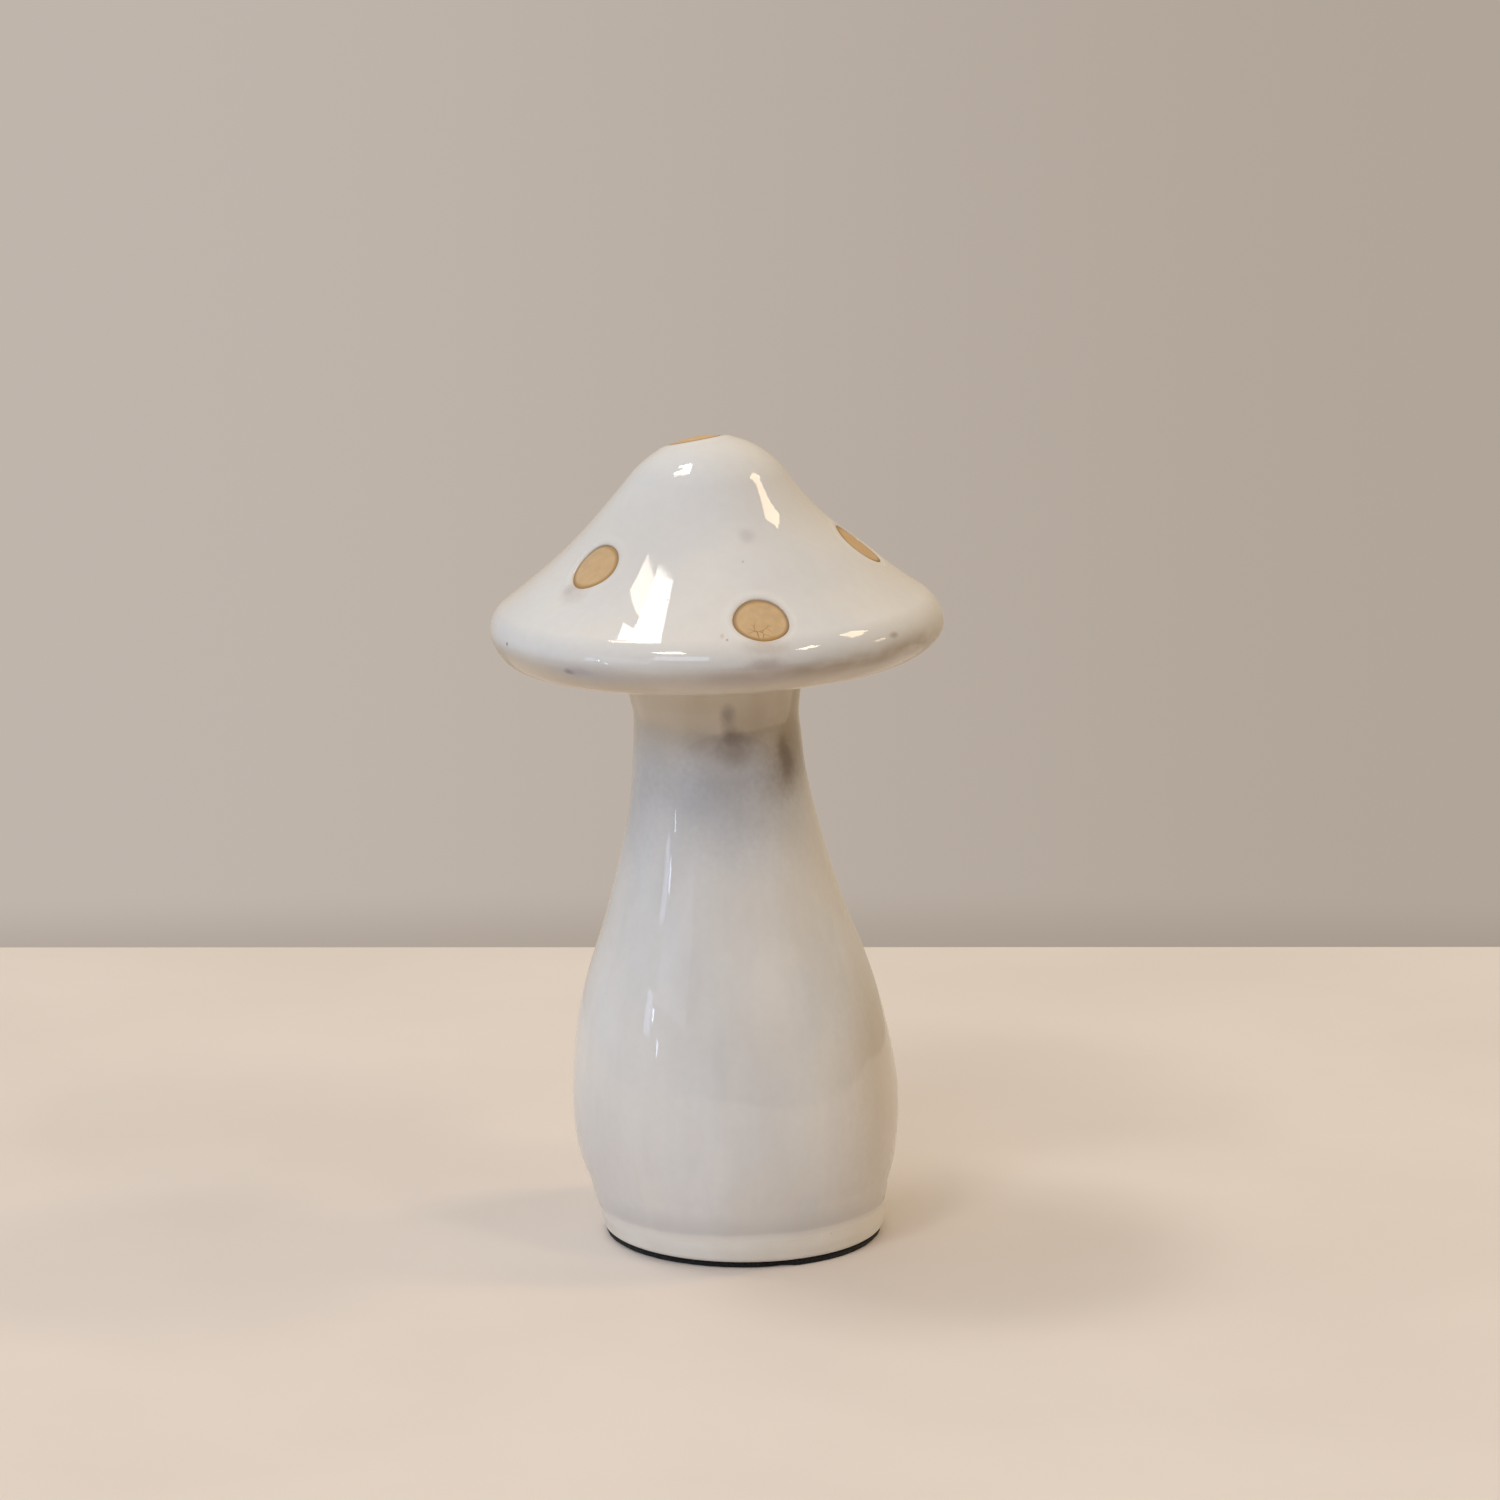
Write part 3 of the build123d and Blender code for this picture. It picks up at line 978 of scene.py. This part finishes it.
patchy = milk.times(milk.tone(70.0, Stretch=(1.0, 1.0, 2.2), Low=0.3, High=0.7), 0.7)
# Painted shade and reflection: the brownish band along the rim's lower side, made patchy.
milk.tint((0.45, 0.37, 0.28), milk.attribute("rim_shade"), milk.plus(patchy, 0.45))
# Painted shade on the rim's lower side and the cap's underside: darker below a height.
milk.tint((0.6, 0.53, 0.44), milk.spread(milk.height(), 0.1502, 0.1552, 0.72, 0.0))
shaded_smoky_neck(milk)
grey_smudge, brown_grit, dark_grit = (0.45, 0.42, 0.42), (0.32, 0.22, 0.14), (0.12, 0.1, 0.1)
milk.marks(
    ((1.2, -26.6, 180.7), (3, 5, 2.6), grey_smudge, 0.35),
    ((-56.6, -23.1, 153.7), (0.7, 0.9, 0.7), dark_grit, 0.75),
    ((-3.5, -52, 160.5), (0.5, 0.8, 0.6), brown_grit, 0.6),
    ((0.2, -32.7, 175.6), (0.4, 0.7, 0.4), brown_grit, 0.5),
    ((-17.6, -40.5, 167.9), (0.4, 0.7, 0.4), dark_grit, 0.45),
    ((-41.1, -42.7, 150.9), (2.6, 2.6, 1.1), dark_grit, 0.8),
    ((-38.5, -44.5, 151.2), (6, 5, 1.6), grey_smudge, 0.6),
    ((36.3, -34.6, 158.2), (2.6, 2.4, 1.1), brown_grit, 0.5),
    ((-4.7, -51, 161.3), (0.8, 1.2, 1.4), (0.62, 0.5, 0.36), 0.6),
    ((-41, -24.3, 167.4), (4, 3.2, 2.6), grey_smudge, 0.4),
    # The next two marks are painted shade and reflection on the rim's lower front.
    ((5.6, -54, 155), (7, 4, 2.4), (0.42, 0.32, 0.28), 0.5),
    ((14, -52, 153.4), (9, 5, 2), (0.36, 0.28, 0.22), 0.35),
    ((-30, -26, 181), (28, 32, 28), (0.69, 0.65, 0.6), 0.44),
    ((4.8, -51.4, 158.6), (9.5, 4.5, 3.4), (0.6, 0.49, 0.41), 0.64),
    ((-40.6, -26.6, 167.6), (6.5, 6.5, 4.8), (0.56, 0.48, 0.44), 0.42),
    # The next three long marks are painted shade and reflection along the rim's lower side.
    ((4, -54.6, 152), (20, 7, 3.8), (0.47, 0.39, 0.35), 0.42),
    ((-33, -43, 150.8), (24, 22, 3.8), (0.44, 0.44, 0.49), 0.4),
    ((-9, -54, 151.2), (21, 8, 3.4), (0.46, 0.43, 0.44), 0.22),
    ((30, 41, 156), (4, 3, 1.6), grey_smudge, 0.4),
    ((-20, 40, 168), (2.4, 3, 1.8), grey_smudge, 0.3),
)
milk.tint(brown_grit, milk.mask(fine_specks, Cells=110.0, Size=0.028, Share=0.05), 0.5)
dull = milk.tone(60.0, Detail=4.0, Low=0.5, High=0.8)
milk.fill(milk.shader["Roughness"], milk.spread(dull, 0.0, 1.0, 0.03, 0.09))
glassy_bumps(milk)
cap_coat.data.materials.append(milk.material)
print("glaze on the cap:", len(milk.tree.nodes), "nodes")

# %% [markdown]
# ## The glaze on the stem
#
# The same glaze, but it was brushed on and ran downwards here. Long pale and grey streaks follow the stem. It is
# greyer a little above the wiped edge, and lighter and rougher where it thins out into bare clay.

# %% Glaze on the stem
milk = Finish("milky_glaze_on_the_stem", 0.05, (0.81, 0.812, 0.81))
streaks = milk.tone(85.0, Stretch=(1.0, 1.0, 0.36), Detail=4.0)
milk.tint((0.7, 0.698, 0.7), streaks, 0.5)
milk.tint((0.84, 0.8, 0.74), milk.tone(48.0, Stretch=(1.0, 1.0, 0.5), Detail=2.0), 0.45)
milk.tint((0.62, 0.59, 0.56), milk.tone(330.0, Stretch=(1.0, 1.0, 0.05), Detail=2.0), 0.06)
dapple(milk, 0.09)
milk.marks(
    ((9, -34, 76), (12, 12, 26), (0.92, 0.9, 0.86), 0.5),
    # The next mark is painted warm shade on the right side of the belly.
    ((33, -14, 42), (17, 28, 50), (0.6, 0.485, 0.345), 0.47),
    ((-34, -16, 24), (16, 24, 26), (0.66, 0.64, 0.64), 0.38),
    ((-30, 20, 60), (20, 24, 30), (0.7, 0.68, 0.66), 0.35),
)
shaded_smoky_neck(milk)
edge = milk.attribute("edge_mm")
greyer = milk.times(milk.spread(edge, 1.0, 3.0), milk.spread(edge, 3.5, 9.0, 1.0, 0.0))
milk.tint((0.6, 0.575, 0.55), greyer, 0.5)
worn_edge = milk.plus(edge, milk.times(milk.minus(streaks, 0.5), 0.9))
milk.tint((0.865, 0.83, 0.77), milk.spread(worn_edge, 0.2, 3.0, 1.0, 0.0))
milk.tint(brown_grit, milk.mask(fine_specks, Cells=120.0, Size=0.03, Share=0.04), 0.4)
milk.fill(milk.shader["Roughness"], milk.spread(edge, 0.2, 3.2, 0.7, 0.05))
glassy_bumps(milk)
stem_coat.data.materials.append(milk.material)
print("glaze on the stem:", len(milk.tree.nodes), "nodes")

# %% [markdown]
# ## Bare clay
#
# The foot is fired white clay without glaze: matt, cream coloured, with a fine tooth from the grog in it and faint
# rings from trimming on the wheel.

# %% Bare clay
clay = Finish("bare_white_clay", 0.75, (0.88, 0.855, 0.8))
clay.tint((0.83, 0.79, 0.72), clay.tone(60.0, Detail=4.0))
clay.tint((0.4, 0.3, 0.2), clay.mask(fine_specks, Cells=500.0, Size=0.16, Share=0.05), 0.45)
trimming = clay.times(clay.tone(20.0, Stretch=(1.0, 1.0, 60.0), Detail=2.0), 0.2)
clay.bump(clay.plus(clay.noise(clay.place, 2600.0, 3.0), trimming), 0.25, 0.0003)
for piece in (cap_clay, seam_slip, stem_clay):
    piece.data.materials.append(clay.material)

# %% [markdown]
# ## Painted spots
#
# The spots are a tan slip, matt and slightly mottled. Where the glaze met the wax, the slip took up a thin dark
# line along the rim, brown here and gold there. The front spot has dried and cracked a little in its lower half.

# %% Tan slip
tan = Finish("tan_slip", 0.7, (0.66, 0.46, 0.255))
tan.tint((0.57, 0.395, 0.215), tan.tone(420.0, Detail=5.0, Low=0.3, High=0.7), 0.8)
warm = tan.tone(130.0, Detail=2.0)
tan.tint((0.66, 0.43, 0.2), warm, 0.4)
veins = tan.add("TexVoronoi", {"Vector": tan.place, "Scale": 430.0}, feature="DISTANCE_TO_EDGE").outputs[0]
cracked = tan.mask(soft_mark, Centre=mm(4.6, -49.5, 162.8), Reach=mm(4.2, 4.0, 3.4), Softness=0.5)
hairline = tan.times(tan.spread(veins, 0.01, 0.05, 1.0, 0.0), cracked)
tan.tint((0.2, 0.11, 0.04), hairline, 0.6)
in_widths = tan.math("DIVIDE", tan.attribute("rim_mm"), tan.plus(tan.times(warm, 0.3), 0.75))
line_colour = tan.blend(warm, (0.31, 0.19, 0.08), (0.42, 0.23, 0.06))
tan.tint(line_colour, tan.spread(in_widths, 0.3, 1.5, 1.0, 0.0), 0.85)
tan.bump(tan.minus(tan.noise(tan.place, 2200.0, 4.0), tan.times(hairline, 0.8)), 0.3, 0.0002)
for disc in paint_discs:
    disc.data.materials.append(tan.material)

# %% [markdown]
# ## Felt and glue
#
# Felt is pressed wool: no weave, only tangled fibres that catch a little light at grazing angles. Two layers of
# noise make the tangle, and the shader's sheen makes the dusty edge. The glue is a smeared, yellowish film. Its
# ring stays the construction model's own, and only gets the new finish.

# %% Black felt
felt = Finish("black_felt", 0.95, (0.002, 0.002, 0.002))
felt.shader["Sheen Weight"].default_value = 0.05
felt.shader["Sheen Roughness"].default_value = 0.6
tangle = felt.tone(1400.0, Detail=6.0, Low=0.3, High=0.75)
felt.tint((0.011, 0.01, 0.01), tangle)
felt.tint((0.03, 0.027, 0.024), felt.tone(120.0, Detail=4.0, Low=0.5, High=0.8), 0.3)
felt.bump(tangle, 0.9, 0.0003)
felt_disc.data.materials.append(felt.material)

# %% Glue film
glue = Finish("smeared_glue", 0.35, (0.7, 0.64, 0.5))
smear = glue.tone(160.0, Stretch=(1.0, 3.0, 1.0))
glue.tint((0.58, 0.51, 0.37), smear)
glue.fill(glue.shader["Roughness"], glue.spread(smear, 0.0, 1.0, 0.25, 0.55))
glue.bump(smear, 0.5, 0.0002)
for glue_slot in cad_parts["pad_adhesive"].material_slots:
    glue_slot.material = glue.material
    print("the glue ring wears", glue_slot.material.name)

# %% [markdown]
# ## Table, room and windows
#
# A glossy white thing is mostly a picture of the room round it. The stage is a plain pale table top in a taupe
# room. Where the table ends towards the camera, the glaze shows a faint line across the belly, so the table has a
# real edge, and the floor in front of it is dark. The windows are area lights: their outlines show as sharp
# highlights, so each one stands in the direction from which its highlight in the photograph comes.

# %% Table top
left, right, front, back = mm(-470, 720, -690, 279)
table_mesh = bpy.data.meshes.new("table_top")
corners = [(left, front, 0.0), (right, front, 0.0), (right, back, 0.0), (left, back, 0.0)]
table_mesh.from_pydata(corners, [], [(0, 1, 2, 3)])
pale = Finish("pale_table", 0.6, (0.81, 0.75, 0.71))
pale.tint((0.77, 0.71, 0.67), pale.tone(9.0, Detail=5.0, Low=0.3, High=0.7))
pale.shader["Specular IOR Level"].default_value = 0.2
table_mesh.materials.append(pale.material)
in_scene("table_top", table_mesh)

# %% [markdown]
# The room has one colour for each of its six sides, mixed by the direction in which a ray leaves. The camera sees
# a plain wall instead, with painted shade: darker to the right, and a painted shadow just above the table.

# %% The room
room = bpy.data.worlds.new("room")
bpy.context.scene.world = room
room.use_nodes = True
air = Nodes(room.node_tree)
looking = air.add("SeparateXYZ", {0: air.add("TexCoord").outputs["Generated"]}).outputs
around = (0.0, 0.0, 0.0)
for side, axis, sign, colour in (
    ("left", "X", -1.0, (0.46, 0.52, 0.59)),
    ("right", "X", 1.0, (0.12, 0.08, 0.03)),
    ("front", "Y", -1.0, (0.15, 0.16, 0.17)),
    ("back", "Y", 1.0, (0.55, 0.45, 0.34)),
    ("ceiling", "Z", 1.0, (0.62, 0.56, 0.47)),
    ("below", "Z", -1.0, (0.1, 0.09, 0.08)),
):
    facing = air.math("MAXIMUM", air.times(looking[axis], sign), 0.0)
    inputs = {0: air.times(facing, facing), 1: colour, 2: around}
    around = air.add("VectorMath", inputs, operation="MULTIPLY_ADD", label=side).outputs[0]
low_in_front = air.times(
    air.spread(looking["Z"], -0.1, 0.06, 1.0, 0.0), air.spread(looking["Y"], -0.35, 0.05, 1.0, 0.0))
not_left = air.times(air.spread(looking["X"], -0.45, -0.1), 0.85)
around = air.blend(air.times(low_in_front, not_left), around, (0.0, 0.0, 0.0))
# Painted shade on the wall: darker to the right, and a painted shadow just above the table.
seen_wall = air.blend(air.spread(looking["X"], -0.12, 0.14), (0.525, 0.462, 0.41), (0.44, 0.375, 0.32))
seen_wall = air.blend(air.spread(looking["Z"], -0.2515, -0.24, 0.3, 0.0), seen_wall, (0.26, 0.2, 0.15))
seen = air.add("LightPath").outputs["Is Camera Ray"]
air.fill(air.tree.nodes["Background"].inputs["Color"], air.blend(seen, around, seen_wall))

# %% Windows


def window_light(name, centre, target, width, height, glow, colour):
    """A rectangle of even brightness, seen as a sharp highlight in the glaze."""
    data = bpy.data.lights.new(name, "AREA")
    data.shape = "RECTANGLE"
    data.size, data.size_y = width, height
    data.energy = glow * math.pi * width * height
    data.color = colour
    lamp = in_scene(name, data)
    aim(lamp, centre, target)
    return lamp


daylight, low_sun, blue_sky = (1.0, 0.96, 0.9), (1.0, 0.77, 0.5), (0.6, 0.72, 1.0)
ceiling, eye_level = 2.0, 0.12
for name, x, y, width, depth, glow, colour, spin in (
    # windows flat in the ceiling, turned by some degrees
    ("roof_left", -0.67, 0.19, 0.28, 0.44, 10, daylight, -13),
    ("roof_left_foot", -0.69, 0.45, 0.38, 0.15, 10, daylight, -24),
    ("roof_left_wing", -0.88, 0.2, 0.45, 0.25, 9, (1.0, 0.88, 0.74), -12),
    ("roof_left_front", -0.88, -1.43, 0.55, 0.4, 14, daylight, 0),
    ("roof_right", 1.68, 0.28, 0.65, 0.4, 9, low_sun, -12),
    ("roof_right_wing", 1.63, 0.42, 0.46, 0.41, 9, low_sun, 22),
    ("roof_right_front", 1.54, -1.1, 0.3, 0.5, 19, low_sun, 0),
):
    lamp = window_light(name, (x, y, ceiling), (x, y, 0), width, depth, glow, colour)
    lamp.rotation_mode = "XYZ"
    lamp.rotation_euler = (0, 0, math.radians(spin))
for name, azimuth, low, high, width, distance, glow, colour in (
    # upright windows, at an azimuth from the front to the right, between two elevations seen from the stem
    ("sky_front", -20, 25, 38, 1.3, 2.4, 4.0, blue_sky),
    ("sky_left", -48, 10, 24, 1.2, 2.4, 0.9, blue_sky),
    ("door_gap", -62, 5.8, 9, 0.07, 3.0, 18.0, blue_sky),
    ("door_pane", -66.5, 3, 12, 0.28, 3.0, 3.0, blue_sky),
    ("door_gap_lower", -57, 0.8, 4.0, 0.06, 3.0, 12.0, blue_sky),
    ("right_room", 95, 22, 26, 0.25, 2.4, 6.0, low_sun),
):
    turn = math.radians(azimuth)
    bottom, top = (eye_level + distance * math.tan(math.radians(angle)) for angle in (low, high))
    middle = (distance * math.sin(turn), -distance * math.cos(turn), (bottom + top) / 2)
    window_light(name, middle, (0, 0, middle[2]), width, top - bottom, glow, colour)

# %% [markdown]
# ## Camera
#
# The photograph was taken from a little above, about 1.4 m away, with a long lens. Distance and lens were worked
# out from the ellipses of rim and foot. No shift is needed, because the camera may turn a little instead.

# %% Camera
camera_data = bpy.data.cameras.new("camera")
camera_data.sensor_width = 36.0
camera_data.lens = 135.4
camera = in_scene("camera", camera_data)
aim(camera, (0, -1.3549, 0.4235), (0.00195, 0, 0.1224))
bpy.context.scene.camera = camera
bpy.context.scene.view_settings.view_transform = "Standard"
